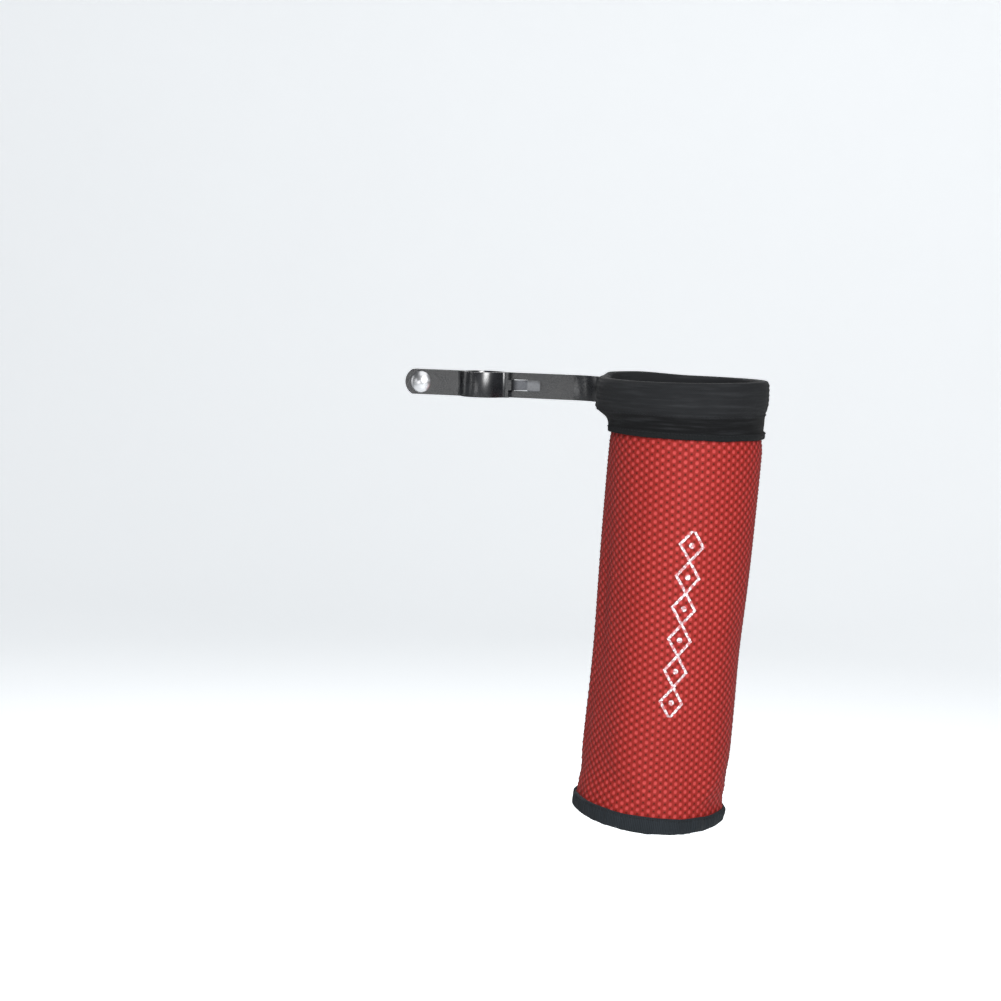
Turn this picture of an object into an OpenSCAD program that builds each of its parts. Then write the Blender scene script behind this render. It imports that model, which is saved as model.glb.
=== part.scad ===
// Drum stick bag: a padded cloth tube on an open metal hoop, with a clamp for a stand tube.
// Origin: centre of the clamp bore. +Z runs up the stand tube, +X along the arm to the bag.

/* [Stand clamp] */
// Diameter of the stand tube held in the clamp, mm
tube_d = 22.2; // [19:0.1:30]
// Height of the flat bar that forms the clamp, the arm and the hoop, mm
bar_h = 16; // [10:0.5:25]
// Thickness of the flat bar, mm
bar_t = 3.2; // [2:0.1:5]
// Gap between the two clamp bars, mm
jaw_gap = 1.6; // [0.8:0.1:3]
// Radius of the bends beside the tube, mm
jaw_bend_r = 3; // [2:0.5:6]
// Distance from the tube axis to the bolt axis, mm
bolt_x = 41; // [30:0.5:60]
// Distance from the tube axis to the rounded end of the ears, mm
ear_end = 51.5; // [40:0.5:70]
// Radius of the rounded ear ends, mm
ear_r = 9; // [8:0.5:15]

/* [Hooked tongue] */
// Start of the slot in the arm, mm
slot_x0 = 19.5; // [15:0.5:30]
// End of the slot in the arm, mm
slot_x1 = 39.0; // [30:0.5:50]
// Height of the slot, mm
slot_h = 7.3; // [5:0.1:10]
// Height of the tongue where it passes through the slot, mm
tongue_h = 6.4; // [4:0.1:9]
// Height of the head of the tongue behind the arm, mm
tongue_head_h = 10; // [8:0.5:15]
// Distance from the tube axis to the shoulders of the front jaw, mm
shoulder_x = 17.6; // [16:0.1:20]
// Tip of the tongue behind the arm, mm
tongue_end = 41; // [32:0.5:45]

/* [Bolt and wing nut] */
// Diameter of the bolt shank, mm
bolt_d = 6; // [4:0.5:8]
// Diameter of the domed bolt head, mm
head_d = 14; // [10:0.5:20]
// Height of the domed bolt head, mm
head_h = 3.6; // [2:0.1:6]
// End of the bolt behind the clamp, mm
bolt_end = 27; // [20:0.5:40]
// Outer diameter of the washer, mm
washer_d = 14; // [12:0.5:20]
// Thickness of the washer, mm
washer_t = 1.2; // [0.8:0.1:2]
// Length of the wing nut along the bolt, mm
nut_l = 8; // [6:0.5:12]
// Tip to tip width of the wings, mm
wing_w = 29; // [20:0.5:40]

/* [Hoop] */
// Distance along the arm from the tube axis to the hoop centre, mm
hoop_x = 134; // [110:1:170]
// Distance from the tube axis forward to the hoop centre, mm
hoop_forward = 18; // [0:1:40]
// Outer radius of the hoop, mm
hoop_ro = 51.2; // [40:0.1:65]
// Centre-line radius of the bend from the arm to the hoop, mm
arm_bend_r = 25; // [15:1:35]
// Angle round the hoop where its free end stops, degrees
hoop_free_end = 162; // [130:1:170]

/* [Bag] */
// Height of the rim above the middle of the bar, mm
rim_z = 9.5; // [9:0.1:15]
// Length of the cuff from the rim down to its hem, mm
cuff_len = 33.5; // [25:0.5:50]
// Outer radius of the cuff round the hoop, mm
cuff_r = 52.8; // [45:0.1:65]
// Outer radius of the cloth tube just under the cuff, mm
body_r_top = 47.1; // [40:0.1:60]
// Outer radius of the cloth tube at the base, mm
body_r_base = 46.3; // [40:0.1:60]
// Length of the hanging tube below its pivot inside the cuff, mm
body_len = 245; // [150:1:320]
// Angle the tube hangs out of plumb, degrees
bag_lean = 3.15; // [0:0.1:8]
// Thickness of the foam in the wall, mm
foam_t = 3.0; // [1:0.1:6]
// Height of the binding round the base, mm
binding_h = 8; // [4:0.5:15]

/* [Hidden] */
$fn = 96;
bore_r = tube_d / 2;
jaw_ro = bore_r + bar_t;
plate_y = jaw_gap / 2;
bar_y = plate_y + bar_t / 2;
bend_cy = plate_y + bar_t + jaw_bend_r;
bend_cx = sqrt(pow(jaw_ro + jaw_bend_r, 2) - pow(bend_cy, 2));
hoop_y = -hoop_forward;
hoop_rc = hoop_ro - bar_t / 2;
arm_cy = bar_y - arm_bend_r;
arm_x = hoop_x - sqrt(pow(arm_bend_r + hoop_rc, 2) - pow(hoop_y - arm_cy, 2));
join_a = atan2(hoop_y - arm_cy, hoop_x - arm_x);
head_r = (pow(head_d / 2, 2) + pow(head_h, 2)) / (2 * head_h);
// The tongue slopes back at 45 degrees through the slot, and its wider head lies behind the
// arm. It goes in with the jaw turned a quarter turn about the arm.
slope_x = slot_x0 - 0.5;
tongue_back = bar_y + bar_t + 0.4;
slope_run = tongue_back + bar_y;
mitre = bar_t / 2 * tan(22.5);
washer_y = plate_y + bar_t + 0.1;
nut_y = washer_y + washer_t + 0.05;
bolt_fit = 0.3;
// How far the bolt leans along the arm when the jaw is wide open.
bolt_slack = 1.9;
thread_r = 0.3;
// Heights in the upright cuff.
cuff_z = rim_z - cuff_len;
pinch_z = -13;
cuff_wall = 1.1;
lining_t = 1.0;
liner_ro = hoop_ro - bar_t - 0.6;
// Start and span, in degrees round the hoop, of the gap in the cuff for the arm.
window_a = 156;
window_span = 36;
// The tube hangs from this height, and its own Z axis leans with it.
pivot_z = -20;
wall_top = 3;
net_t = 0.4;
cloth_t = 0.55;
ply = 0.08;
board_t = 2;
// Start and span, in degrees round the tube, of the tape over the seam.
seam_a = 82;
seam_span = 16;
floor_t = 0.6;
panel_t = 1.2;

// Outline from above of one sector of a ring, between two angles less than 180 apart.
module sector(cx, cy, r_in, a0, a1) {
  far = 3 * (r_in + bar_t);
  m = (a0 + a1) / 2;
  translate([cx, cy])
    intersection() {
      difference() {
        circle(r = r_in + bar_t);
        circle(r = r_in);
      }
      polygon([[0, 0], [far * cos(a0), far * sin(a0)], [far * cos(m), far * sin(m)],
               [far * cos(a1), far * sin(a1)]]);
    }
}

// Outline from above of a bar that bulges round half the tube, behind the split plane.
module half_outline(x0, x1) {
  difference() {
    union() {
      translate([x0, plate_y])
        square([x1 - x0, bar_t]);
      intersection() {
        circle(r = jaw_ro);
        translate([-20, plate_y])
          square([40, 20]);
      }
      for (s = [-1, 1])
        polygon([[0, plate_y + 0.5], [s * bend_cx, plate_y + 0.5], [s * bend_cx, bend_cy]]);
    }
    circle(r = bore_r);
    for (s = [-1, 1])
      translate([s * bend_cx, bend_cy])
        circle(r = jaw_bend_r);
  }
}

module bar(h) {
  translate([0, 0, -h / 2])
    linear_extrude(height = h)
      children();
}

// Everything left of the tube rounded to the shape of the ears, seen from the front.
module ear_shape() {
  translate([-ear_end + ear_r, 30, 0])
    rotate([90, 0, 0])
      linear_extrude(height = 60)
        union() {
          circle(r = ear_r);
          translate([0, -bar_h])
            square([260, 2 * bar_h]);
        }
}

// Formed bar: rear ear, rear half of the clamp, arm with its slot, and the open hoop.
module hoop_arm() {
  color([0.07, 0.07, 0.08])
    difference() {
      union() {
        intersection() {
          bar(bar_h) half_outline(-ear_end, arm_x);
          ear_shape();
        }
        bar(bar_h) sector(arm_x, arm_cy, arm_bend_r - bar_t / 2, join_a, 90);
        bar(bar_h) {
          difference() {
            translate([hoop_x, hoop_y])
              circle(r = hoop_ro);
            translate([hoop_x, hoop_y])
              circle(r = hoop_ro - bar_t);
            translate([hoop_x, hoop_y])
              polygon([[0, 0], [-99 * cos(join_a), -99 * sin(join_a)], [-99, 12],
                       [99 * cos(hoop_free_end), 99 * sin(hoop_free_end)]]);
          }
        }
      }
      translate([slot_x0, 0, -slot_h / 2])
        cube([slot_x1 - slot_x0 - slot_h / 2, 10, slot_h]);
      translate([slot_x1 - slot_h / 2, 10, 0])
        rotate([90, 0, 0])
          cylinder(r = slot_h / 2, h = 10);
      // Hole for the bolt, long enough for it to tilt as the jaw opens.
      for (dx = [0, bolt_slack])
        translate([-bolt_x - dx, 10, 0])
          rotate([90, 0, 0])
            cylinder(r = bolt_d / 2 + bolt_fit, h = 10);
      translate([-bolt_x - bolt_slack, 0, -bolt_d / 2 - bolt_fit])
        cube([bolt_slack, 10, bolt_d + 2 * bolt_fit]);
    }
}

// Front half of the clamp, hooked through the slot at one end and bolted at the other.
module clamp_jaw() {
  color([0.09, 0.09, 0.10])
    difference() {
      union() {
        intersection() {
          bar(bar_h) mirror([0, 1]) half_outline(-ear_end, shoulder_x);
          ear_shape();
        }
        translate([0, 0, -tongue_h / 2])
          linear_extrude(height = tongue_h)
            polygon([[shoulder_x - 1, -plate_y], [slope_x - mitre, -plate_y],
                     [slope_x + slope_run - mitre, tongue_back + bar_t / 2],
                     [tongue_end, tongue_back + bar_t / 2],
                     [tongue_end, tongue_back - bar_t / 2],
                     [slope_x + slope_run + mitre, tongue_back - bar_t / 2],
                     [slope_x + mitre, -plate_y - bar_t],
                     [shoulder_x - 1, -plate_y - bar_t]]);
        translate([slope_x + slope_run + mitre, tongue_back - bar_t / 2, -tongue_head_h / 2])
          cube([tongue_end - slope_x - slope_run - mitre, bar_t, tongue_head_h]);
      }
      translate([-bolt_x - bolt_d / 2 - 0.05, -10, -bolt_d / 2 - 0.05])
        cube([bolt_d + 0.1, 10, bolt_d + 0.1]);
    }
}

// Carriage bolt with a domed head, a square neck and a round shank.
module clamp_bolt() {
  color([0.75, 0.76, 0.78])
    translate([-bolt_x, 0, 0]) {
      difference() {
        translate([0, -plate_y - bar_t - 0.05 - head_h + head_r, 0])
          sphere(r = head_r);
        translate([-20, -plate_y - bar_t - 0.05, -20])
          cube(40);
      }
      translate([-bolt_d / 2, -plate_y - bar_t - 0.1, -bolt_d / 2])
        cube([bolt_d, bar_t - 0.4, bolt_d]);
      translate([0, bolt_end - 0.6, 0])
        rotate([90, 0, 0])
          cylinder(d = bolt_d, h = bolt_end + plate_y + 1);
      translate([0, bolt_end, 0])
        rotate([90, 0, 0])
          cylinder(d1 = bolt_d - 1.2, d2 = bolt_d, h = 0.6);
    }
}

module bolt_washer() {
  color([0.70, 0.71, 0.73])
    translate([-bolt_x, washer_y + washer_t, 0])
      rotate([90, 0, 0])
        difference() {
          cylinder(d = washer_d, h = washer_t);
          translate([0, 0, -1])
            cylinder(r = bolt_d / 2 + 0.05, h = washer_t + 2);
        }
}

// Wing nut with a conical hub and two upswept wings.
module wing_nut() {
  color([0.72, 0.73, 0.75])
    translate([-bolt_x, nut_y, 0])
      rotate([-90, 0, 0])
        difference() {
          union() {
            cylinder(d1 = 11.5, d2 = 9, h = nut_l);
            translate([0, 1.3, 0])
              rotate([90, 0, 0])
                linear_extrude(height = 2.6)
                  union() {
                    for (s = [-1, 1]) {
                      polygon([[s * 3.6, 1], [s * 5.4, 1], [s * (wing_w / 2 - 2), 5.5],
                               [s * (wing_w / 2 - 3), 12.2], [s * 3.6, 7.5]]);
                      translate([s * (wing_w / 2 - 4.2), 9])
                        circle(r = 4.2);
                    }
                  }
          }
          translate([0, 0, -1])
            cylinder(r = bolt_d / 2 + 0.05, h = 20);
        }
}

// Ring about the upright hoop axis.
module cuff_ring() {
  translate([hoop_x, hoop_y, 0])
    rotate_extrude()
      children();
}

// Ring about the leaning axis of the tube, with its zero at the pivot height.
module body_ring() {
  translate([hoop_x, hoop_y, pivot_z])
    rotate([0, bag_lean, 0])
      rotate_extrude()
        children();
}

// Outer black cloth folded over the hoop, open at one side where the arm comes out.
module cuff_casing() {
  w = cuff_wall;
  color([0.13, 0.13, 0.14])
    difference() {
      cuff_ring()
        polygon([[liner_ro - 1.15, rim_z - 2.2], [liner_ro - 0.6, rim_z - 0.6],
                 [liner_ro + 0.8, rim_z], [cuff_r - 2.0, rim_z], [cuff_r - 0.5, rim_z - 0.8],
                 [cuff_r, rim_z - 2.5], [cuff_r, -4], [cuff_r - 0.6, -9],
                 [cuff_r - 2.6, pinch_z], [cuff_r - 3.4, pinch_z - 3],
                 [body_r_top + 2.1, cuff_z + 0.8], [body_r_top + 1.15, cuff_z + 0.8],
                 [cuff_r - 3.4 - w, pinch_z - 3], [cuff_r - 2.7 - w, pinch_z],
                 [cuff_r - 0.7 - w, -9], [cuff_r - w, -4], [cuff_r - w, rim_z - 1.1],
                 [liner_ro - 0.1, rim_z - 1.1], [liner_ro - 0.1, rim_z - 2.2]]);
      translate([hoop_x, hoop_y, -bar_h / 2 - 0.6])
        rotate([0, 0, window_a])
          rotate_extrude(angle = window_span)
            translate([hoop_ro - bar_t / 2, 0])
              square([6, bar_h + 0.9]);
    }
}

// Facing inside the mouth, from the fold down past the top of the wall.
module cuff_lining() {
  r = liner_ro - 0.15;
  n = body_r_top - 5.7;
  t = lining_t;
  color([0.10, 0.10, 0.11])
    cuff_ring()
      polygon([[r - t, rim_z - 2.3], [r, rim_z - 2.3], [r, -bar_h / 2], [n, pinch_z + 0.2],
               [n, cuff_z + 1.5], [n - t, cuff_z + 1.5], [n - t, pinch_z - 0.4],
               [r - t, -bar_h / 2 - 0.6]]);
}

// Binding folded round the lower edge of the cuff.
module cuff_hem() {
  r = body_r_top + 1.1;
  color([0.11, 0.11, 0.12])
    cuff_ring()
      polygon([[r - 0.6, cuff_z], [r + 1.4, cuff_z], [r + 1.75, cuff_z + 0.6],
               [r + 1.95, cuff_z + 5.5], [r + 1.25, cuff_z + 5.5],
               [r + 1.05, cuff_z + 0.75], [r, cuff_z + 0.75], [r, cuff_z + 4],
               [r - 0.6, cuff_z + 4]]);
}

module casing_thread() {
  color([0.05, 0.05, 0.05])
    cuff_ring()
      translate([cuff_r - 1.9, pinch_z + 0.6])
        circle(r = thread_r, $fn = 12);
}

module hem_thread() {
  color([0.06, 0.06, 0.06])
    cuff_ring()
      translate([body_r_top + 3.28, cuff_z + 3.6])
        circle(r = thread_r, $fn = 12);
}

// One layer of the tube wall, given how far its two faces lie inside the outer face.
module wall_layer(d0, d1, z0, z1) {
  k = (body_r_top - body_r_base) / body_len;
  polygon([[body_r_top + k * z0 - d1, z0], [body_r_top + k * z0 - d0, z0],
           [body_r_top + k * z1 - d0, z1], [body_r_top + k * z1 - d1, z1]]);
}

module mesh_net() {
  color([0.25, 0.05, 0.06])
    body_ring()
      wall_layer(0, net_t, -body_len + 1.3, wall_top);
}

module red_shell() {
  color([0.62, 0.08, 0.10])
    body_ring()
      wall_layer(net_t + ply, net_t + ply + cloth_t, -body_len + 1.3, wall_top);
}

module foam_wall() {
  d = net_t + cloth_t + 2 * ply;
  color([0.55, 0.55, 0.52])
    body_ring()
      wall_layer(d, d + foam_t, -body_len + 1.3, wall_top);
}

module inner_lining() {
  d = net_t + cloth_t + foam_t + 3 * ply;
  color([0.12, 0.12, 0.13])
    body_ring()
      wall_layer(d, d + 0.5, -body_len + 1.3, wall_top);
}

// Tape over the seam down the inside of the lining, at the back.
module seam_tape() {
  d = net_t + cloth_t + foam_t + 0.5 + 4 * ply;
  color([0.08, 0.08, 0.09])
    translate([hoop_x, hoop_y, pivot_z])
      rotate([0, bag_lean, 0])
        rotate([0, 0, seam_a])
          rotate_extrude(angle = seam_span)
            wall_layer(d, d + 0.7, -body_len + panel_t + board_t + floor_t + 1, wall_top - 1);
}

module floor_disc(r, z, t) {
  translate([hoop_x, hoop_y, pivot_z])
    rotate([0, bag_lean, 0])
      translate([0, 0, z])
        cylinder(r = r, h = t);
}

// Outer cloth under the base.
module base_panel() {
  color([0.14, 0.15, 0.17])
    floor_disc(body_r_base - 0.4, -body_len, panel_t);
}

// Stiff board that keeps the base flat.
module base_stiffener() {
  color([0.45, 0.36, 0.25])
    floor_disc(body_r_base - 4.9, -body_len + panel_t + ply, board_t);
}

// Lining over the board, the floor of the bag.
module base_lining() {
  color([0.12, 0.12, 0.13])
    floor_disc(body_r_base - 4.9, -body_len + panel_t + board_t + 2 * ply, floor_t);
}

// Padded binding round the corner of the base.
module base_binding() {
  r = body_r_base;
  color([0.17, 0.19, 0.22])
    body_ring()
      polygon([[r - 4, -body_len - 0.9], [r - 0.4, -body_len - 1.0],
               [r + 0.9, -body_len - 0.3], [r + 1.7, -body_len + 1.4],
               [r + 1.8, -body_len + binding_h - 2.4], [r + 1.0, -body_len + binding_h - 0.6],
               [r + 0.3, -body_len + binding_h], [r + 0.08, -body_len + binding_h],
               [r + 0.05, -body_len - 0.05], [r - 4, -body_len - 0.05]]);
}

module base_thread() {
  color([0.06, 0.06, 0.07])
    body_ring()
      translate([body_r_base + 1.75, -body_len + binding_h - 1.0])
        circle(r = thread_r, $fn = 12);
}

hoop_arm();
clamp_jaw();
clamp_bolt();
bolt_washer();
wing_nut();
cuff_casing();
cuff_lining();
cuff_hem();
casing_thread();
hem_thread();
mesh_net();
red_shell();
foam_wall();
inner_lining();
seam_tape();
base_panel();
base_stiffener();
base_lining();
base_binding();
base_thread();
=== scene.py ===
import math

import bmesh
import bpy
from mathutils import Matrix, Vector, noise


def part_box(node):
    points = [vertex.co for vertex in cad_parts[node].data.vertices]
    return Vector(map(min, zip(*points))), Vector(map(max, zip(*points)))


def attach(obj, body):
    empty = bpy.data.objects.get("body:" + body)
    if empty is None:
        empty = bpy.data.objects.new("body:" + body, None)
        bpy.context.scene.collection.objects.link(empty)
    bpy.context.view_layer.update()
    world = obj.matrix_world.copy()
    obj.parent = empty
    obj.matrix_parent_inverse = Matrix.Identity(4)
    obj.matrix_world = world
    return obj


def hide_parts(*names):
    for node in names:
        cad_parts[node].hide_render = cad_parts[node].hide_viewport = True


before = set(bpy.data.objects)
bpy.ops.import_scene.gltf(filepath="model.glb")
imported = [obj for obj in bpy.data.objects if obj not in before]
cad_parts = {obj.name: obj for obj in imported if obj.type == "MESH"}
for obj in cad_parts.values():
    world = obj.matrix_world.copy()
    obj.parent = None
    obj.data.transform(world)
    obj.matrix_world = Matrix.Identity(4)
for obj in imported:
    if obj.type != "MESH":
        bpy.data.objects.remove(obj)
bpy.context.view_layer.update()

MM = 0.001
TAU = 2 * math.pi


# ---------------------------------------------------------------- frame facts
def centre(node):
    """Middle of a CAD node's box."""
    lo, hi = (Vector(c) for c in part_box(node))
    return (lo + hi) / 2


# The hoop's axis is upright, and the bag leans away from it below PIVOT.
hem_c = centre("cuff_hem")
HX, HY = hem_c.x, hem_c.y
PIVOT = Vector((HX, HY, -20 * MM))
base_c = centre("base_panel")
LEAN = math.atan2(HX - base_c.x, PIVOT.z - base_c.z)
HALF_BASE_CLOTH = 0.6 * MM
BODY_L = (PIVOT - base_c).length + HALF_BASE_CLOTH
DOWN = Vector((-math.sin(LEAN), 0, -math.cos(LEAN)))
SIDE = Vector((math.cos(LEAN), 0, -math.sin(LEAN)))
BACK = Vector((0, 1, 0))
R_TOP, R_BASE = 47.1 * MM, 46.3 * MM
CUFF_R = 52.8 * MM


def smooth(a, b, x):
    """Rises from 0 at a to 1 at b without a corner."""
    t = min(1, max(0, (x - a) / (b - a)))
    return t * t * (3 - 2 * t)


def wob(theta, s, freq, seed):
    """Repeatable noise that closes round the tube: theta in radians, s in metres."""
    return noise.noise(Vector((freq * math.cos(theta), freq * math.sin(theta), s * 20 + seed)))


def body_centre(s):
    """The tube's centre line, s metres below the pivot, bowed a little along +X."""
    bow = 3.2 * MM * (1 - abs(s / BODY_L) ** 3) * smooth(-30 * MM, 0.0, s)
    return PIVOT + DOWN * s + Vector((bow, 0, 0))


# ---------------------------------------------------------------- cloth simulation of the wall
SIM_COLS, SIM_ROWS, SIM_FRAMES = 80, 56, 26
SETTLE_IN, SETTLE_OUT = -1.8 * MM, 1.2 * MM


def simulate_wall():
    """Hangs a coarse copy of the padded wall between the cuff and the base board, a little
    longer than the space it has, and returns how far each point settles from a plain tube."""
    verts, faces = [], []
    for j in range(SIM_ROWS):
        s = BODY_L * j / (SIM_ROWS - 1)
        for i in range(SIM_COLS):
            th = TAU * i / SIM_COLS
            r = R_TOP + 1.3 * MM * wob(th, s, 1.7, 5.0) * math.sin(math.pi * s / BODY_L)
            verts.append((r * math.cos(th), r * math.sin(th), -s))
    for j in range(SIM_ROWS - 1):
        for i in range(SIM_COLS):
            k = (i + 1) % SIM_COLS
            faces.append((j * SIM_COLS + i, (j + 1) * SIM_COLS + i, (j + 1) * SIM_COLS + k, j * SIM_COLS + k))
    me = bpy.data.meshes.new("wall_cloth")
    me.from_pydata(verts, [], faces)
    ob = bpy.data.objects.new("wall_cloth", me)
    scene = bpy.context.scene
    scene.collection.objects.link(ob)
    pins = ob.vertex_groups.new(name="held")
    last = SIM_ROWS - 1
    for j, weight in ((0, 1), (1, 1), (2, 0.6), (last - 2, 0.6), (last - 1, 1), (last, 1)):
        pins.add(range(j * SIM_COLS, (j + 1) * SIM_COLS), weight, "REPLACE")
    cloth = ob.modifiers.new("cloth", "CLOTH")
    c = cloth.settings
    c.quality = 8
    c.mass = 0.6
    c.tension_stiffness = c.compression_stiffness = 40
    c.shear_stiffness = 12
    c.bending_stiffness = 6
    c.air_damping = 2
    c.vertex_group_mass = "held"
    c.use_pressure = True
    c.uniform_pressure_force = -0.9
    c.shrink_min = -0.012
    cloth.collision_settings.use_collision = False
    cloth.collision_settings.use_self_collision = False
    cloth.point_cache.frame_start, cloth.point_cache.frame_end = 1, SIM_FRAMES
    for f in range(1, SIM_FRAMES + 1):
        scene.frame_set(f)
    done = ob.evaluated_get(bpy.context.evaluated_depsgraph_get()).data
    grid = []
    for j in range(SIM_ROWS):
        row = []
        for i in range(SIM_COLS):
            x, y, _ = done.vertices[j * SIM_COLS + i].co
            row.append(max(SETTLE_IN, min(SETTLE_OUT, math.hypot(x, y) - R_TOP)))
        grid.append(row)
    scene.frame_set(1)
    bpy.data.objects.remove(ob)
    bpy.data.meshes.remove(me)
    return grid


def smoothed(grid):
    """The grid with each value averaged with its four neighbours."""
    out = []
    for j in range(len(grid)):
        a, b = grid[max(j - 1, 0)], grid[min(j + 1, len(grid) - 1)]
        m = grid[j]
        n = len(m)
        out.append([(2 * m[i] + m[i - 1] + m[(i + 1) % n] + a[i] + b[i]) / 6 for i in range(n)])
    return out


WALL = [[0.0] * SIM_COLS for _ in range(SIM_ROWS)]
WALL = smoothed(smoothed(simulate_wall()))


def settled(theta, s):
    """Smoothly interpolated distance that the simulated wall settled in or out."""
    u = (theta / TAU % 1) * SIM_COLS
    v = min(max(s / BODY_L, 0), 1) * (SIM_ROWS - 1)
    i, j = int(u) % SIM_COLS, min(int(v), SIM_ROWS - 2)
    fu, fv = u - int(u), v - j
    fu, fv = fu * fu * (3 - 2 * fu), fv * fv * (3 - 2 * fv)
    k = (i + 1) % SIM_COLS
    top = WALL[j][i] * (1 - fu) + WALL[j][k] * fu
    low = WALL[j + 1][i] * (1 - fu) + WALL[j + 1][k] * fu
    return top * (1 - fv) + low * fv


def near(th, deg, width):
    """A bell round the tube, 1 at deg and falling off over width, both in degrees."""
    d = (th - math.radians(deg) + math.pi) % TAU - math.pi
    return math.exp(-(d / math.radians(width)) ** 2)


PINCH_DEPTH, PINCH_AT, PINCH_REACH = 1.7 * MM, 145 * MM, 62 * MM
# Broad folds: direction and width in degrees, depth, and how far each turns in degrees per metre.
FOLDS = ((-136, 20, 1.8 * MM, 30), (60, 15, 0.6 * MM, 0), (160, 18, 0.5 * MM, 0))
FOLD_MIDDLE = 100 * MM


def body_r(theta, s):
    """Radius of the tube's outer face: taper, settled cloth, pinch, folds, gathers, hem."""
    r = R_TOP + (R_BASE - R_TOP) * s / BODY_L + settled(theta, s)
    r -= PINCH_DEPTH * math.exp(-((s - PINCH_AT) / PINCH_REACH) ** 2)
    hang = smooth(20 * MM, 90 * MM, s) * (1 - smooth(200 * MM, 240 * MM, s))
    for direction, width, depth, turn in FOLDS:
        r -= depth * near(theta, direction + turn * (s - FOLD_MIDDLE), width) * hang
    r += 0.18 * MM * math.cos(11 * theta) * math.exp(-max(BODY_L - s, 0) / (20 * MM))
    r -= 0.9 * MM * (1 - smooth(3 * MM, 12 * MM, s))
    return r


def on_body(theta, s, d=0.0, r=None):
    """Point on the tube, d metres outside its face, or at radius r."""
    rad = (body_r(theta, s) if r is None else r) + d
    return body_centre(s) + SIDE * (rad * math.cos(theta)) + BACK * (rad * math.sin(theta))


# ---------------------------------------------------------------- mesh helpers
def add_object(name, verts, faces, uvs=None):
    """A smooth-shaded mesh that rides on the bag's body."""
    me = bpy.data.meshes.new(name)
    me.from_pydata([tuple(v) for v in verts], [], faces)
    me.update()
    if uvs is not None:
        layer = me.uv_layers.new(name="cloth")
        for poly in me.polygons:
            for li in poly.loop_indices:
                layer.data[li].uv = uvs[poly.index][li - poly.loop_start]
    ob = bpy.data.objects.new(name, me)
    bpy.context.scene.collection.objects.link(ob)
    for p in me.polygons:
        p.use_smooth = True
    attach(ob, "holder")
    return ob


def loft(name, ring, n_theta, n_ring, closed_loop=False, uv=None, skip=None, arc=None):
    """Skin round the tube. ring(theta, k) gives a point, and k runs over n_ring points of a section,
    which closed_loop joins end to start. arc limits theta, and skip leaves faces out."""
    a0, a1 = arc if arc else (0.0, TAU)
    cols = n_theta + (1 if arc else 0)
    verts, faces, uvs = [], [], []
    for i in range(cols):
        th = a0 + (a1 - a0) * i / n_theta
        for k in range(n_ring):
            verts.append(ring(th, k))
    rows = n_ring if closed_loop else n_ring - 1
    for i in range(n_theta):
        j = i + 1 if arc else (i + 1) % n_theta
        for k in range(rows):
            m = (k + 1) % n_ring
            if skip and skip(a0 + (a1 - a0) * (i + 0.5) / n_theta, k):
                continue
            faces.append((i * n_ring + k, j * n_ring + k, j * n_ring + m, i * n_ring + m))
            if uv:
                u0, u1 = a0 + (a1 - a0) * i / n_theta, a0 + (a1 - a0) * (i + 1) / n_theta
                uvs.append((uv(u0, k), uv(u1, k), uv(u1, k + 1), uv(u0, k + 1)))
    if arc and closed_loop:
        faces.append(tuple(range(n_ring)))
        faces.append(tuple(reversed(range(n_theta * n_ring, (n_theta + 1) * n_ring))))
        if uv:
            uvs += [[(0, 0)] * n_ring] * 2
    ob = add_object(name, verts, faces, uvs=uvs if uv else None)
    bm = bmesh.new()
    bm.from_mesh(ob.data)
    bmesh.ops.recalc_face_normals(bm, faces=bm.faces)
    bm.to_mesh(ob.data)
    bm.free()
    return ob


def spline(points, n):
    """Points of a smooth curve through the given section, evenly by parameter."""
    out = []
    m = len(points) - 1
    for i in range(n):
        t = m * i / (n - 1)
        k = min(int(t), m - 1)
        f = t - k
        p = [points[max(0, min(m, k + q))] for q in (-1, 0, 1, 2)]
        out.append(tuple(
            0.5 * (2 * p[1][c] + (p[2][c] - p[0][c]) * f
                   + (2 * p[0][c] - 5 * p[1][c] + 4 * p[2][c] - p[3][c]) * f * f
                   + (3 * p[1][c] - p[0][c] - 3 * p[2][c] + p[3][c]) * f ** 3)
            for c in (0, 1)))
    return out


def solidify(ob, thick, offset=-1.0):
    m = ob.modifiers.new("thickness", "SOLIDIFY")
    m.thickness = thick
    m.offset = offset
    m.use_rim = True
    m.use_even_offset = True


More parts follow.
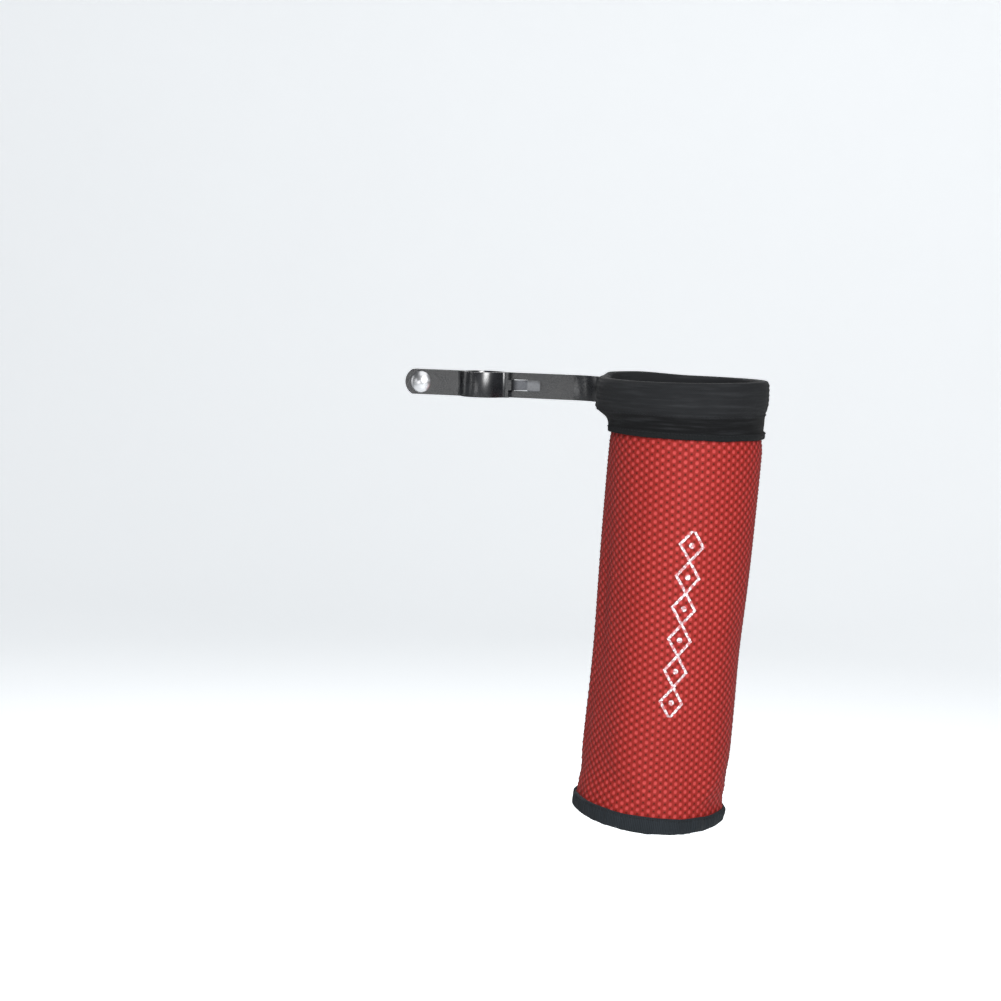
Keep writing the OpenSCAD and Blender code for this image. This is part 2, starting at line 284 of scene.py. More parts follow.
# ---------------------------------------------------------------- materials
class Nodes:
    """Short calls for building one material from nodes."""

    def __init__(self, name):
        self.mat = bpy.data.materials.new(name)
        self.mat.use_nodes = True
        self.t = self.mat.node_tree
        self.bsdf = self.t.nodes["Principled BSDF"]
        self.coord = self.t.nodes.new("ShaderNodeTexCoord")

    def node(self, kind, **props):
        n = self.t.nodes.new("ShaderNode" + kind)
        for k, v in props.items():
            setattr(n, k, v)
        return n

    def link(self, a, b):
        self.t.links.new(a, b)

    def math(self, op, *values):
        n = self.node("Math", operation=op)
        for i, v in enumerate(values):
            if isinstance(v, (int, float)):
                n.inputs[i].default_value = v
            else:
                self.link(v, n.inputs[i])
        return n.outputs[0]

    def step(self, x, lo, hi, out_lo=0.0, out_hi=1.0):
        n = self.node("MapRange", interpolation_type="SMOOTHSTEP")
        self.link(x, n.inputs[0])
        for i, v in enumerate((lo, hi, out_lo, out_hi)):
            n.inputs[i + 1].default_value = v
        return n.outputs[0]

    def noise(self, scale, detail=3.0, rough=0.55, vec=None, stretch=None):
        n = self.node("TexNoise")
        n.inputs["Scale"].default_value = scale
        n.inputs["Detail"].default_value = detail
        n.inputs["Roughness"].default_value = rough
        src = vec if vec is not None else self.coord.outputs["Object"]
        if stretch:
            m = self.node("Mapping")
            m.inputs["Scale"].default_value = stretch
            self.link(src, m.inputs["Vector"])
            src = m.outputs[0]
        self.link(src, n.inputs["Vector"])
        return n.outputs["Fac"]

    def mix(self, fac, a, b):
        n = self.node("Mix", data_type="RGBA")
        self.link(fac, n.inputs[0])
        for v, i in ((a, 6), (b, 7)):
            if isinstance(v, tuple):
                n.inputs[i].default_value = (*v, 1.0)
            else:
                self.link(v, n.inputs[i])
        return n.outputs[2]

    def bump(self, height, strength, distance, normal=None):
        n = self.node("Bump")
        n.inputs["Strength"].default_value = strength
        n.inputs["Distance"].default_value = distance
        self.link(height, n.inputs["Height"])
        if normal is not None:
            self.link(normal, n.inputs["Normal"])
        return n.outputs[0]

    def set(self, **values):
        for k, v in values.items():
            sock = self.bsdf.inputs[k.replace("_", " ")]
            if isinstance(v, (int, float)):
                sock.default_value = v
            elif isinstance(v, tuple):
                sock.default_value = (*v, 1.0)
            else:
                self.link(v, sock)


def weave_height(m, pitch, axis_u, axis_v):
    """Plain weave from two crossed waves over two coordinates in metres."""
    k = math.pi / pitch
    a = m.math("SINE", m.math("MULTIPLY", axis_u, k))
    b = m.math("SINE", m.math("MULTIPLY", axis_v, k))
    return m.math("MULTIPLY", a, b)


def cloth_material(name, dark, light, pitch, ribs=False, bump=0.5, shaded_below=None):
    """Woven cloth, or ribbed tape, over the piece's flat coordinates. Below the height shaded_below
    it is painted darker, as shade under the casing's bulge, with lighter creases."""
    m = Nodes(name)
    flat = m.node("UVMap", uv_map="cloth")
    sep = m.node("SeparateXYZ")
    m.link(flat.outputs[0], sep.inputs[0])
    if ribs:
        w = m.math("SINE", m.math("MULTIPLY", sep.outputs[0], TAU / pitch))
    else:
        w = weave_height(m, pitch, sep.outputs[0], sep.outputs[1])
    patch = m.noise(60, 3)
    fuzz = m.noise(2500, 2)
    shade = m.math("ADD", m.step(w, -1, 1, 0, 0.55), m.math("MULTIPLY", patch, 0.45))
    colour = m.mix(shade, dark, light)
    crease = m.noise(1.0, 4, 0.6, vec=flat.outputs[0], stretch=(25, 420, 1))
    if shaded_below is not None:
        # Painted shade: the cloth below that height is darkened for the shade under the casing's bulge.
        pos = m.node("SeparateXYZ")
        m.link(m.coord.outputs["Object"], pos.inputs[0])
        low = m.step(pos.outputs[2], shaded_below, shaded_below + 2.5 * MM, 0.8, 0.0)
        colour = m.mix(low, colour, tuple(c * 0.4 for c in dark))
        colour = m.mix(m.step(crease, 0.45, 0.75, 0.0, 0.5), colour, tuple(c * 1.7 for c in light))
    m.set(
        Base_Color=colour,
        Roughness=m.step(fuzz, 0.2, 0.8, 0.75, 0.95),
        Sheen_Weight=0.02, Sheen_Roughness=0.5, Specular_IOR_Level=0.10)
    n = m.bump(w, bump, 0.12 * MM)
    n = m.bump(fuzz, 0.25, 0.1 * MM, n)
    n = m.bump(m.noise(220, 3), 0.25, 0.6 * MM, n)
    n = m.bump(crease, 0.35, 0.8 * MM, n)
    m.link(n, m.bsdf.inputs["Normal"])
    return m.mat


def metal_black(name, lighter_span=None):
    """Satin black lacquer, lighter over the range of X in metres that lighter_span gives."""
    m = Nodes(name)
    grain = m.noise(900, 4, 0.6, stretch=(1, 1, 6))
    wear = m.noise(45, 5, 0.65)
    colour = m.mix(m.step(wear, 0.35, 0.75), (0.006, 0.0065, 0.0075), (0.011, 0.012, 0.014))
    scuffs = m.step(m.noise(260, 6, 0.75), 0.60, 0.70, 0.0, 0.5)
    colour = m.mix(scuffs, colour, (0.022, 0.023, 0.025))
    if lighter_span:
        sep = m.node("SeparateXYZ")
        m.link(m.coord.outputs["Object"], sep.inputs[0])
        start, end = lighter_span
        # Lighter colour over that range of X, broken up by the blotch noise.
        lighter_patch = m.math("MULTIPLY", m.step(sep.outputs[0], start, start + 4 * MM),
                      m.step(sep.outputs[0], end, end + 0.8 * MM, 1.0, 0.0))
        lighter_patch = m.math("MULTIPLY", lighter_patch, m.step(wear, 0.2, 0.6, 0.7, 1.0))
        colour = m.mix(lighter_patch, colour, (0.11, 0.115, 0.125))
    m.set(
        Base_Color=colour,
        Roughness=m.step(m.math("ADD", m.math("MULTIPLY", wear, 0.6), m.math("MULTIPLY", grain, 0.4)),
                         0.3, 0.7, 0.22, 0.32),
        Specular_IOR_Level=0.65)
    m.link(m.bump(grain, 0.10, 0.05 * MM), m.bsdf.inputs["Normal"])
    return m.mat


def metal_bright(name, colour, rough, spread=0.14):
    """Plated steel, a little dulled in patches."""
    m = Nodes(name)
    wear = m.noise(300, 4, 0.6)
    m.set(
        Base_Color=m.mix(m.step(wear, 0.3, 0.8), colour, tuple(c * 0.82 for c in colour)),
        Metallic=1.0, Roughness=m.step(wear, 0.3, 0.75, rough, rough + spread))
    m.link(m.bump(m.noise(1500, 3), 0.08, 0.05 * MM), m.bsdf.inputs["Normal"])
    return m.mat


def plain_rough(name, dark, light, scale, rough):
    """Mottled, grainy stuff such as foam or fibre board."""
    m = Nodes(name)
    f = m.noise(scale, 5, 0.7)
    m.set(Base_Color=m.mix(f, dark, light), Roughness=rough)
    m.link(m.bump(f, 0.5, 0.3 * MM), m.bsdf.inputs["Normal"])
    return m.mat


COLUMNS, ROW_STEP = 86, 2.5 * MM  # the net's columns round the tube, and the distance between rows
NET_TWIST = 1.28  # radians that the net's columns turn round the tube in a metre
NET_R = 47.0 * MM

PRINT_AT, PRINT_ANGLE, PRINT_TILT = 116 * MM, math.radians(20.5 - 90), math.radians(5.0)
DIAMONDS, DIAMOND_LENGTH, DIAMOND_HALF_WIDTH = 6, 19.5 * MM, 7.2 * MM


def ornament(m, u, v):
    """Where the print lies, 0 to 1: a plain chain of outlined diamonds with a spot in each."""
    half = DIAMOND_LENGTH / 2
    around = m.math("MULTIPLY", u, TAU * NET_R / COLUMNS)
    below = m.math("MULTIPLY", v, ROW_STEP)
    start = ((PRINT_ANGLE - NET_TWIST * PRINT_AT) % TAU) * NET_R
    da, ds = m.math("SUBTRACT", around, start), m.math("SUBTRACT", below, PRINT_AT)
    cos_t, sin_t = math.cos(PRINT_TILT), math.sin(PRINT_TILT)
    across = m.math("ADD", m.math("MULTIPLY", da, cos_t), m.math("MULTIPLY", ds, sin_t))
    along = m.math("SUBTRACT", m.math("MULTIPLY", ds, cos_t), m.math("MULTIPLY", da, sin_t))
    # from_tip runs from 0 at each diamond's tip to half at its middle.
    from_tip = m.math("PINGPONG", m.math("ADD", along, 5 * DIAMOND_LENGTH), half)
    edge = m.math("MULTIPLY", from_tip, DIAMOND_HALF_WIDTH / half)
    off_line = m.math("ABSOLUTE", m.math("SUBTRACT", m.math("ABSOLUTE", across), edge))
    line = m.step(off_line, 0.8 * MM, 1.2 * MM, 1.0, 0.0)
    rest = m.math("SUBTRACT", half, from_tip)
    squares = m.math("ADD", m.math("MULTIPLY", across, across), m.math("MULTIPLY", rest, rest))
    off_spot = m.math("SQRT", squares)
    spot = m.step(off_spot, 1.4 * MM, 2.0 * MM, 1.0, 0.0)
    end = DIAMONDS * half
    fade = (end - 0.08 * DIAMOND_LENGTH, end - 0.02 * DIAMOND_LENGTH)
    within = m.step(m.math("ABSOLUTE", along), *fade, 1.0, 0.0)
    return m.math("MULTIPLY", m.math("MAXIMUM", line, spot), within)


def net_material():
    """Red cloth under a darker net. u counts the net's columns and v its rows, and the cloth shows
    in the holes, where both are whole and u + v is even."""
    m = Nodes("net_over_red")
    flat = m.node("UVMap", uv_map="cloth")
    sep = m.node("SeparateXYZ")
    m.link(flat.outputs[0], sep.inputs[0])
    u, v = sep.outputs[0], sep.outputs[1]
    turn_u, turn_v = m.math("MULTIPLY", u, math.pi), m.math("MULTIPLY", v, math.pi)
    cu, su = m.math("COSINE", turn_u), m.math("SINE", turn_u)
    cv, sv = m.math("COSINE", turn_v), m.math("SINE", turn_v)
    rounder = m.math("MULTIPLY", cu, m.math("ABSOLUTE", cu))
    # Painted shade: one of the net's two diagonals is painted a little darker than the other, for the light
    # across its relief, and the columns a little lighter.
    slant_shade = m.math("MULTIPLY", m.math("MULTIPLY", su, sv), -0.06)
    column = m.math("MULTIPLY", m.math("SUBTRACT", m.math("MULTIPLY", cu, cu), 0.5), 0.24)
    p = m.math("ADD", m.math("MULTIPLY", rounder, cv), m.math("ADD", slant_shade, column))
    vary = m.noise(700, 2)
    q = m.math("ADD", p, m.math("MULTIPLY", m.math("SUBTRACT", vary, 0.5), 0.25))
    red = m.mix(m.noise(35, 3), (0.335, 0.035, 0.035), (0.415, 0.049, 0.046))
    gap = m.mix(m.step(q, -0.95, -0.35), (0.060, 0.008, 0.004), (0.20, 0.013, 0.010))
    base = m.mix(m.step(q, -0.15, 0.75), gap, red)
    # The ink is speckled, and thin in the holes.
    speckle = m.step(m.noise(800, 1), 0.42, 0.58, 0.35, 1.0)
    worn = m.math("MULTIPLY", speckle, m.step(q, -0.35, 0.45, 1.0, 0.35))
    base = m.mix(m.math("MULTIPLY", ornament(m, u, v), worn), base, (0.76, 0.75, 0.79))
    yarn = m.noise(2600, 2)
    m.set(Base_Color=base, Roughness=m.step(yarn, 0.2, 0.8, 0.55, 0.8),
          Sheen_Weight=0.02, Sheen_Roughness=0.4, Specular_IOR_Level=0.12)
    n = m.bump(m.step(q, -0.9, 0.9, 1.0, 0.0), 0.45, 0.35 * MM)
    n = m.bump(yarn, 0.35, 0.12 * MM, n)
    m.link(n, m.bsdf.inputs["Normal"])
    return m.mat


MAT = {
    "arm": metal_black("black_bar"),
    "jaw": metal_black("black_jaw", lighter_span=(20 * MM, 36 * MM)),
    "bolt": metal_bright("bolt_steel", (0.74, 0.75, 0.77), 0.32, spread=0.04),
    "washer": metal_bright("washer_steel", (0.66, 0.67, 0.69), 0.32),
    "nut": metal_bright("nut_zinc", (0.62, 0.63, 0.66), 0.34),
    "net": net_material(),
    # The cuff cloth is painted darker below 12 mm down, as shade under the casing's bulge.
    "cuff": cloth_material("cuff_cloth", (0.0065, 0.0070, 0.0078), (0.0165, 0.0175, 0.019), 0.55 * MM,
                           shaded_below=-12 * MM),
    "facing": cloth_material("facing_cloth", (0.006, 0.006, 0.007), (0.014, 0.014, 0.016), 0.6 * MM),
    "hem": cloth_material("hem_tape", (0.004, 0.0045, 0.005), (0.010, 0.0115, 0.0125), 0.9 * MM, ribs=True),
    "tape": cloth_material("seam_tape", (0.006, 0.006, 0.007), (0.014, 0.014, 0.015), 0.9 * MM, ribs=True),
    "lining": cloth_material("lining_cloth", (0.010, 0.010, 0.011), (0.022, 0.022, 0.024), 0.7 * MM),
    "base": cloth_material("base_cloth", (0.010, 0.012, 0.014), (0.026, 0.031, 0.036), 0.7 * MM),
    "binding": cloth_material("binding_tape", (0.008, 0.0095, 0.011), (0.021, 0.026, 0.031), 1.1 * MM,
                              ribs=True, bump=0.8),
    "thread": cloth_material("thread", (0.006, 0.006, 0.007), (0.020, 0.021, 0.023), 0.3 * MM, bump=0.3),
    "foam": plain_rough("foam", (0.30, 0.30, 0.28), (0.50, 0.50, 0.46), 900, 0.95),
    "board": plain_rough("fibre_board", (0.16, 0.11, 0.06), (0.34, 0.26, 0.17), 500, 0.8),
}


def finish_piece(ob, key, slot, *nodes):
    """Gives a new piece its material and hides the CAD nodes that it stands for. slot is not used."""
    ob.data.materials.clear()
    ob.data.materials.append(MAT[key])
    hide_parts(*nodes)


def dress_node(node, key):
    """Gives a carried-over CAD node its material on the object, with the mesh untouched."""
    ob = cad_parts[node]
    if not ob.material_slots:
        ob.data.materials.append(None)
    for s in ob.material_slots:
        s.link = "OBJECT"
        s.material = MAT[key]


# ---------------------------------------------------------------- metal pieces
def round_edges(node, width, segments):
    """Welds a CAD mesh's split vertices and bevels its sharp edges, by modifiers only."""
    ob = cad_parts[node]
    w = ob.modifiers.new("weld", "WELD")
    w.merge_threshold = 2e-6
    b = ob.modifiers.new("edges", "BEVEL")
    b.width = width
    b.segments = segments
    b.limit_method = "ANGLE"
    b.angle_limit = math.radians(32)
    b.harden_normals = True


for metal, key, edge, segments in (
        ("hoop_arm", "arm", 0.9 * MM, 3), ("clamp_jaw", "jaw", 0.9 * MM, 3),
        ("clamp_bolt", "bolt", 0.25 * MM, 2), ("bolt_washer", "washer", 0.2 * MM, 2),
        ("wing_nut", "nut", 0.5 * MM, 3)):
    dress_node(metal, key)
    round_edges(metal, edge, segments)

# ---------------------------------------------------------------- red net over the wall
SUB = 3  # mesh divisions to each row and each column of the net
S_TOP = -2 * ROW_STEP
NET_ROWS = int((BODY_L - 1.5 * MM - S_TOP) / ROW_STEP) * SUB
BACK_ROWS = 60
NET_DEPTH = 0.40 * MM


def net_ring(th, k):
    """Down the dimpled face for NET_ROWS, then back up the plain inner face."""
    if k > NET_ROWS:
        down = 1 - (k - NET_ROWS - 1) / (BACK_ROWS - 1)
        s = S_TOP + down * NET_ROWS * ROW_STEP / SUB
        return on_body(th + NET_TWIST * s, s, -1.0 * MM)
    s = S_TOP + k * ROW_STEP / SUB
    p = math.cos(math.pi * th / TAU * COLUMNS) * math.cos(math.pi * s / ROW_STEP)
    lift = -NET_DEPTH * (0.5 * p + 0.5 * p * abs(p)) - 0.32 * MM
    return on_body(th + NET_TWIST * s, s, lift)


net = loft("net_wall", net_ring, COLUMNS * SUB, NET_ROWS + 1 + BACK_ROWS, closed_loop=True,
           uv=lambda th, k: (th / TAU * COLUMNS, (S_TOP + k * ROW_STEP / SUB) / ROW_STEP))
finish_piece(net, "net", "net", "mesh_net", "red_shell")


# ---------------------------------------------------------------- wall layers inside
def layer(name, depths, ends, rows, finish, arc=None, cols=96):
    """A closed layer between two depths in millimetres under the wall's face, and between two
    places along it in metres. finish is its material, its slot and its CAD node."""
    (outer, inner), (top, bottom) = depths, ends
    down = [top + (bottom - top) * i / (rows - 1) for i in range(rows)]
    sec = [(s, -outer * MM) for s in down] + [(s, -inner * MM) for s in reversed(down)]
    ob = loft(name, lambda th, k: on_body(th, *sec[k]), cols, len(sec), closed_loop=True, arc=arc,
              uv=lambda th, k: (th * R_TOP, sec[k % len(sec)][0]))
    finish_piece(ob, *finish)
    return ob


foam = layer("foam_tube", (1.15, 4.0), (-3 * MM, BODY_L - 1.5 * MM), 30, ("foam", "foam", "foam_wall"))
lining = layer("lining_tube", (4.15, 4.75), (-3 * MM, BODY_L - 4.2 * MM), 60,
               ("lining", "black_lining", "inner_lining"))
tape = layer("seam_tape_strip", (4.85, 5.5), (-2 * MM, BODY_L - 5 * MM), 60,
             ("tape", "black_binding", "seam_tape"), arc=(math.radians(82), math.radians(98)), cols=8)


# ---------------------------------------------------------------- cuff
def cuff_point(th, r, z):
    """Round the hoop at the top, and round the leaning tube at the hem, which tilts with it."""
    w = smooth(7 * MM, 16 * MM, -z)
    shift = w * 2.3 * MM
    z -= w * (0.6 + 0.9 * math.cos(th - math.radians(16))) * MM
    return Vector((HX + shift + r * math.cos(th), HY + r * math.sin(th), z))


# Section of the casing as radius and height in millimetres, from inside the mouth over the hoop to
# the hem.
CUFF_SECTION = spline([
    (46.5, 4.5), (46.45, 7.0), (47.1, 8.8), (48.8, 9.5), (50.8, 9.45), (52.1, 8.6), (52.65, 6.8),
    (52.8, 3.0), (52.8, -1.0), (52.6, -4.5), (52.1, -7.4), (51.2, -9.6), (50.0, -11.4),
    (49.0, -13.4), (48.5, -15.5), (48.2, -18.0), (48.05, -20.5), (48.0, -23.2)], 96)


def cuff_shape(th, r, z):
    """Wrinkles and pulls of the casing, on top of its plain section, in millimetres."""
    up = smooth(-12, -4, z)
    out = smooth(47.5, 52, r) if z > 0 else 1.0
    deg = math.degrees(th) % 360
    # The casing bulges round the arm, and is pulled in beside it and under the hoop.
    r += 3.4 * near(th, 200, 26) * math.exp(-((z + 11.4) / 4.2) ** 2) * out
    r += 1.0 * near(th, 200, 22) * smooth(-12, -6, z) * (1 - smooth(3, 9, z)) * out
    r -= 0.5 * near(th, 16, 50)
    r -= 0.35 * math.exp(-((z + 9.6) / 0.7) ** 2) * (1 - 0.7 * near(th, 200, 24))
    # The folded edge rides up over the back of the hoop, up to the opening.
    z += 1.7 * (1 - smooth(168, 178, deg)) * smooth(95, 140, deg) * smooth(3, 8.5, z)
    z += 0.3 * math.cos(2 * th + 0.6) * smooth(5, 9, z)
    # Finer wrinkles: broad ones and rings over the hoop, puckers under it.
    r += 0.35 * wob(th, z * MM, 1.6, 9.0) * up * out
    r += 0.16 * math.sin(z * 2.1 + 2.0 * wob(th, 0, 1.5, 1.0)) * up * out
    r += 0.30 * wob(th, z * 2 * MM, 5.0, 4.0) * (1 - up)
    r += 0.45 * wob(th, 0, 3.0, 17.0) * math.exp(-((z + 9.0) / 2.5) ** 2)
    return r, z


def cuff_ring(th, k):
    r, z = cuff_shape(th, *CUFF_SECTION[k])
    return cuff_point(th, r * MM, z * MM)


OPEN_A0, OPEN_A1 = math.radians(157), math.radians(189)


def cuff_window(th, k):
    """True for the faces where the arm enters the casing."""
    r, z = CUFF_SECTION[k]
    return OPEN_A0 < th < OPEN_A1 and r > 51.0 and -8.6 < z < 8.3


cuff_len = [0.0]
for (r0, z0), (r1, z1) in zip(CUFF_SECTION, CUFF_SECTION[1:]):
    cuff_len.append(cuff_len[-1] + math.hypot(r1 - r0, z1 - z0) * MM)
cuff = loft("cuff_cloth", cuff_ring, 288, len(CUFF_SECTION), skip=cuff_window,
            uv=lambda th, k: (th * CUFF_R, cuff_len[min(k, len(cuff_len) - 1)]))
solidify(cuff, 0.6 * MM)
finish_piece(cuff, "cuff", "black_cloth", "cuff_casing")

FACING = spline([(46.9, 6.6), (46.8, 2.0), (46.7, -4.0), (46.2, -8.0), (44.0, -10.6),
                 (41.8, -12.6), (40.9, -15.5), (40.7, -18.5), (40.7, -22.0)], 44)
FACING_R = 47 * MM


def facing_ring(th, k):
    r, z = FACING[k]
    r -= 0.35 * abs(wob(th, z * MM, 4.0, 31.0)) * smooth(-6, -12, z)
    return cuff_point(th, r * MM, z * MM)


facing = loft("mouth_facing", facing_ring, 144, len(FACING),
              uv=lambda th, k: (th * FACING_R, -FACING[min(k, len(FACING) - 1)][1] * MM))
solidify(facing, 0.8 * MM, 1.0)
finish_piece(facing, "facing", "black_lining", "cuff_lining")

HEM = spline([(47.9, -20.2), (48.3, -20.2), (48.6, -20.9), (48.65, -22.0), (48.6, -23.2), (48.4, -23.9),
              (47.9, -24.2), (47.3, -24.1), (47.0, -23.4), (47.2, -22.9), (47.6, -23.3), (47.8, -23.3)], 40)
HEM_R = 49 * MM
HEM_TUCK = 0.5  # millimetres that the tape lies closer under the arm


def hem_ring(th, k):
    r, z = HEM[k]
    r -= HEM_TUCK * near(th, 195, 40)
    r += 0.22 * wob(th, 0, 6.0, 40.0) + 0.06 * math.sin(170 * th)
    z += 0.45 * wob(th, 0, 2.2, 50.0)
    return cuff_point(th, r * MM, z * MM)


hem = loft("cuff_hem_tape", hem_ring, 432, len(HEM), closed_loop=True,
           uv=lambda th, k: (th * HEM_R, HEM[k % len(HEM)][1] * MM))
finish_piece(hem, "hem", "black_binding", "cuff_hem")


# ---------------------------------------------------------------- base
def base_point(th, r, z):
    """z runs up from the bottom of the base, in millimetres."""
    return on_body(th, BODY_L - z * MM, r=r * MM)


def base_sag(th):
    """The soft base drops at the front and back and rides up at the sides, in millimetres."""
    return 0.5 - 1.4 * math.cos(2 * (th + math.radians(74)))


def base_edge(th):
    """How far the upper edge of the binding runs off its level, in millimetres."""
    side = math.cos(th - math.radians(16))
    front = max(0.0, math.cos(th + math.radians(74)))
    return 0.6 * wob(th, 0, 3.0, 66.0) - 0.8 * (1 + side) + 2.2 * front


BINDING = spline([(46.3, 8.3), (47.1, 8.2), (47.75, 7.2), (48.05, 5.0), (48.0, 2.4), (47.5, 0.4),
                  (46.4, -0.7), (44.6, -1.1), (42.6, -1.0), (42.3, -0.5), (42.5, -0.1), (44.5, -0.1),
                  (45.9, 0.1), (46.15, 1.2), (46.2, 4.0), (46.2, 8.0)], 64)
BINDING_R = 48 * MM


def binding_ring(th, k):
    r, z = BINDING[k]
    lump = wob(th, 0, 7.0, 60.0)
    out = smooth(46.6, 48.0, r) + smooth(0.2, -0.8, z)
    lump += 0.6 * wob(th, z * MM * 2, 16.0, 61.0)
    r += (1.15 * lump + 0.10 * math.sin(150 * th)) * smooth(46.5, 48, r)
    z += base_edge(th) * smooth(3, 8, z) + 0.35 * lump * smooth(0.4, -0.8, z) * min(1, out)
    return base_point(th, r, z + base_sag(th))


binding = loft("base_binding_tape", binding_ring, 432, len(BINDING), closed_loop=True,
               uv=lambda th, k: (th * BINDING_R, BINDING[k % len(BINDING)][1] * MM))
finish_piece(binding, "binding", "base_binding", "base_binding")


def disc(name, r, z_top, z_bot, crown, *finish):
    """Round panel with a little crown on its lower face, in millimetres above the base's bottom.
    finish is its material, its slot and its CAD node."""
    sec = [(0.02, z_top), (r * 0.5, z_top), (r - 0.3, z_top), (r, z_top - 0.15), (r, z_bot + 0.15),
           (r - 0.3, z_bot), (r * 0.75, z_bot - crown * 0.4), (r * 0.5, z_bot - crown * 0.75),
           (r * 0.25, z_bot - crown * 0.95), (0.02, z_bot - crown)]

    def ring(th, k):
        rr, z = sec[k]
        z += 0.12 * wob(th, rr * 0.01, rr / 14, 70.0) * smooth(0, 20, rr)
        return base_point(th, rr, z + base_sag(th) * (rr / 46) ** 2)

    def flat(th, k):
        rr = sec[k % len(sec)][0] * MM
        return rr * math.cos(th), rr * math.sin(th)

    ob = loft(name, ring, 96, len(sec), closed_loop=True, uv=flat)
    finish_piece(ob, *finish)
    return ob


BASE_CLOTH_R, FLOOR_R = 46.0, 41.3  # millimetres
base_cloth = disc("base_cloth_disc", BASE_CLOTH_R, 1.15, 0.1, 0.5, "base", "base_cloth", "base_panel")
disc("base_board", FLOOR_R, 3.25, 1.3, 0.0, "board", "board", "base_stiffener")
floor_lining = disc("floor_lining_disc", FLOOR_R, 4.0, 3.35, 0.0, "lining", "black_lining", "base_lining")


# ---------------------------------------------------------------- stitches
def stitches(name, point, n, thick, node):
    """A row of n short arched stitches. point(theta, lift) gives the seam line."""
    sides, steps = 6, 5
    verts, faces = [], []
    for i in range(n):
        t0 = TAU * (i + 0.14) / n
        t1 = TAU * (i + 0.86) / n
        start = len(verts)
        for j in range(steps + 1):
            f = j / steps
            th = t0 + (t1 - t0) * f
            arch = math.sin(math.pi * f)
            mid = point(th, thick * (1.1 * arch - 0.25))
            out = (point(th, 1 * MM) - point(th, 0)).normalized()
            run = (point(th + 0.01, 0) - point(th - 0.01, 0)).normalized()
            side = out.cross(run).normalized()
            rad = thick * (0.45 + 0.55 * arch ** 0.5)
            for q in range(sides):
                a = TAU * q / sides
                verts.append(mid + out * (rad * math.cos(a)) + side * (rad * math.sin(a)))
        for j in range(steps):
            for q in range(sides):
                a, b = start + j * sides + q, start + j * sides + (q + 1) % sides
                faces.append((a, b, b + sides, a + sides))
        faces.append(tuple(start + q for q in reversed(range(sides))))
        faces.append(tuple(start + steps * sides + q for q in range(sides)))
    ob = add_object(name, verts, faces)
    finish_piece(ob, "thread", "black_thread", node)
    return ob


CASING_SEAM_Z = -10.6
CASING_SEAM_R = min(CUFF_SECTION, key=lambda point: abs(point[1] - CASING_SEAM_Z))[0]


def casing_seam(th, lift):
    r, z = cuff_shape(th, CASING_SEAM_R, CASING_SEAM_Z)
    return cuff_point(th, r * MM + lift + 0.15 * MM, z * MM)


def hem_seam(th, lift):
    r = 48.55 - HEM_TUCK * near(th, 195, 40) + 0.22 * wob(th, 0, 6.0, 40.0)
    z = -20.9 + 0.45 * wob(th, 0, 2.2, 50.0)
    return cuff_point(th, r * MM + lift + 0.1 * MM, z * MM)


def base_seam(th, lift):
    r = 47.7 + 0.55 * wob(th, 0, 7.0, 60.0)
    z = 7.1 + base_edge(th) + base_sag(th)
    return base_point(th, r + lift / MM + 0.1, z)


casing_stitches = stitches("casing_stitches", casing_seam, 118, 0.26 * MM, "casing_thread")
hem_stitches = stitches("hem_stitches", hem_seam, 112, 0.24 * MM, "hem_thread")
base_stitches = stitches("base_stitches", base_seam, 108, 0.24 * MM, "base_thread")

# ---------------------------------------------------------------- stage, light, camera
FLOOR_Z, FLOOR_BACK, CURVE_R, CURVE_STEPS = -0.62, 2.6, 1.2, 12


def stage_sheet():
    """Floor that curves up into a backdrop far behind. It glows for the camera alone, so that it
    looks pale and adds no light to the object."""
    verts, faces = [], []
    prof = [(-6.0, FLOOR_Z), (FLOOR_BACK, FLOOR_Z)]
    for i in range(1, CURVE_STEPS + 1):
        a = math.pi / 2 * i / CURVE_STEPS
        prof.append((FLOOR_BACK + CURVE_R * math.sin(a), FLOOR_Z + CURVE_R * (1 - math.cos(a))))
    prof.append((FLOOR_BACK + CURVE_R, 5.0))
    for x in (-7.0, 7.0):
        for y, z in prof:
            verts.append((x, y, z))
    n = len(prof)
    for k in range(n - 1):
        faces.append((k, k + 1, n + k + 1, n + k))
    me = bpy.data.meshes.new("floor")
    me.from_pydata(verts, [], faces)
    for p in me.polygons:
        p.use_smooth = True
    ob = bpy.data.objects.new("floor", me)
    bpy.context.scene.collection.objects.link(ob)
    m = Nodes("pale_floor")
    pale = m.mix(m.noise(3, 2), (0.84, 0.86, 0.87), (0.88, 0.90, 0.91))
    seen = m.node("LightPath")
    m.set(Base_Color=pale, Roughness=0.9, Specular_IOR_Level=0.1, Emission_Color=(0.94, 0.97, 1.0),
          Emission_Strength=m.math("MULTIPLY", seen.outputs["Is Camera Ray"], 0.66))
    ob.data.materials.append(m.mat)


def studio_world():
    """Pale to the camera, and dim as a light."""
    world = bpy.data.worlds.new("studio")
    bpy.context.scene.world = world
    world.use_nodes = True
    tree = world.node_tree
    backdrop = tree.nodes["Background"]
    backdrop.inputs[0].default_value = (0.94, 0.97, 1.0, 1)
    rays = tree.nodes.new("ShaderNodeLightPath")
    level = tree.nodes.new("ShaderNodeMapRange")
    level.inputs["To Min"].default_value = 0.10
    level.inputs["To Max"].default_value = 0.90
    tree.links.new(rays.outputs["Is Camera Ray"], level.inputs["Value"])
    tree.links.new(level.outputs[0], backdrop.inputs["Strength"])


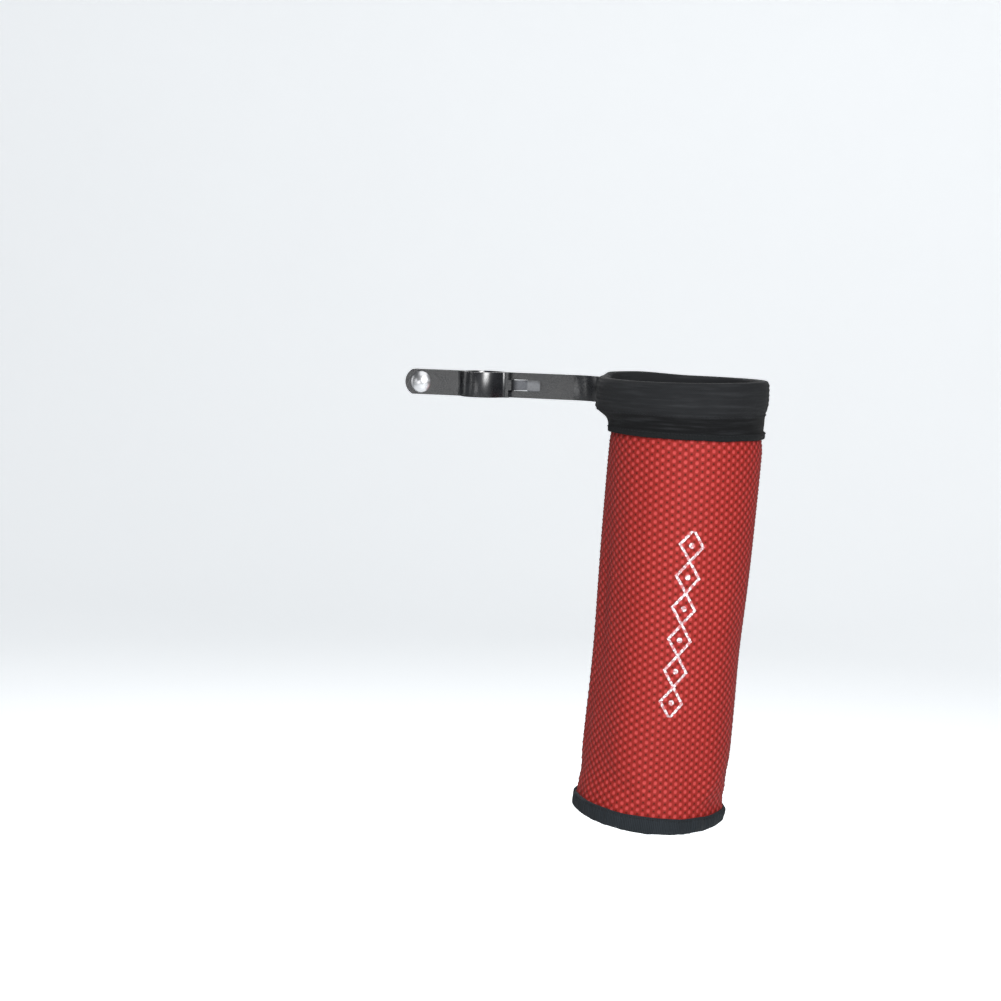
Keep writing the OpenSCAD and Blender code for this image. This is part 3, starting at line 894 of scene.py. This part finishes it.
def soft_light(name, azimuth, elevation, dist, size_x, size_y, power):
    """Area light that looks at the bag. Azimuth 0 is straight in front, and it turns towards +X."""
    target = Vector((HX * 0.5, 0, -80 * MM))
    a, e = math.radians(azimuth), math.radians(elevation)
    back = Vector((math.sin(a) * math.cos(e), -math.cos(a) * math.cos(e), math.sin(e)))
    data = bpy.data.lights.new(name, "AREA")
    data.shape = "RECTANGLE"
    data.size, data.size_y = size_x, size_y
    data.energy = power
    ob = bpy.data.objects.new(name, data)
    bpy.context.scene.collection.objects.link(ob)
    ob.location = target + back * dist
    ob.rotation_mode = "QUATERNION"
    ob.rotation_quaternion = (-back).to_track_quat("-Z", "Y")
    ob.visible_camera = False


# Name, azimuth, elevation, distance, width, height, watts. The panel and the strips are what the
# lacquered arm mirrors.
LIGHTS = (
    ("panel_face", -17, -4, 1.5, 0.30, 0.30, 1.15),
    ("strip_left", -51, 6, 1.5, 0.06, 0.8, 1.2),
    ("strip_bend", -27, 0, 1.5, 0.05, 0.5, 0.9),
    ("rim_left", -95, 8, 1.5, 0.3, 0.8, 1.4),
    ("key_front", 25, 22, 1.6, 0.5, 0.8, 38),
    ("top", 10, 80, 1.6, 1.6, 1.6, 10),
    ("back_fill", 205, 42, 1.6, 1.0, 1.0, 20),
)

SENSOR_MM, LENS_MM = 36, 76.46
CAMERA_DISTANCE = 1.3728
AIM_RIGHT, AIM_UP = 12.96 * MM, -74.95 * MM
YAW, PITCH, ROLL = math.radians(15.87), math.radians(6.18), math.radians(1.553)


def add_camera():
    """Looks at a point beside the bag, from YAW round towards +X and PITCH above level."""
    toward = Vector((math.sin(YAW) * math.cos(PITCH), -math.cos(YAW) * math.cos(PITCH), math.sin(PITCH)))
    level = Vector((math.cos(YAW), math.sin(YAW), 0))
    up = toward.cross(level)
    rolled_right = level * math.cos(ROLL) + up * math.sin(ROLL)
    rolled_up = up * math.cos(ROLL) - level * math.sin(ROLL)
    data = bpy.data.cameras.new("camera")
    data.sensor_width = SENSOR_MM
    data.lens = LENS_MM
    cam = bpy.data.objects.new("camera", data)
    bpy.context.scene.collection.objects.link(cam)
    cam.rotation_mode = "QUATERNION"
    cam.rotation_quaternion = Matrix((rolled_right, rolled_up, toward)).transposed().to_quaternion()
    cam.location = level * AIM_RIGHT + Vector((0, 0, AIM_UP)) + toward * CAMERA_DISTANCE
    bpy.context.scene.camera = cam


stage_sheet()
studio_world()
for light in LIGHTS:
    soft_light(*light)
add_camera()
bpy.context.scene.view_settings.view_transform = "Standard"
